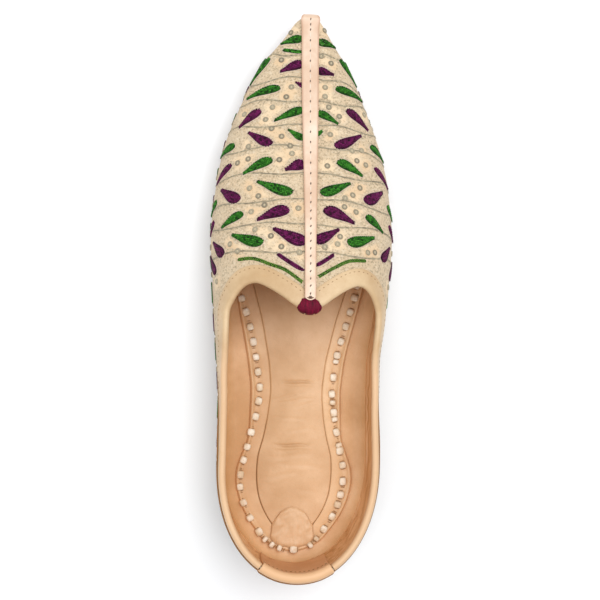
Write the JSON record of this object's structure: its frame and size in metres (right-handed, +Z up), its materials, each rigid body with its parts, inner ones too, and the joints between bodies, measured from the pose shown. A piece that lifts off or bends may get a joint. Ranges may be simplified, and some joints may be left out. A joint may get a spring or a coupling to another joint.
{
  "type": "mojari shoe",
  "caption": "Flat slip-on mojari shoe with a pointed toe, heart-shaped throat, embroidered vamp and leather sole; stands empty on its sole.",
  "frame": {"origin": "middle of the bounding box on the ground that the sole stands on", "axes": "+Y from heel to toe, +X towards the wearer's right, +Z up"},
  "size_m": [0.0862, 0.2676, 0.064],
  "materials": {
    "sole_leather": "matt vegetable-tanned sole leather with a darker cut edge",
    "vamp_cloth": "cream cloth on leather, couched with silver-grey metallic thread and filled leaves",
    "band_leather": "smooth cream leather band with a row of stitches",
    "strip_leather": "pinkish cream leather, slightly glossy, stitched down the middle",
    "knot_thread": "satin maroon thread, wound tight",
    "lining_leather": "soft tan leather lining with fine creases",
    "footbed_leather": "tan leather footbed, waxed and lightly creased",
    "sock_leather": "tan leather panel, light natural grain"
  },
  "bodies": {
    "root": {"outsole": "sole_leather", "upper": "vamp_cloth", "collar_band": "band_leather", "toe_strip": "strip_leather", "throat_knot": "knot_thread", "heel_strap": "lining_leather", "insole": "footbed_leather", "sock_panel": "sock_leather", "insole_border": "sock_leather", "heel_tab": "sock_leather"}
  },
  "joints": []
}
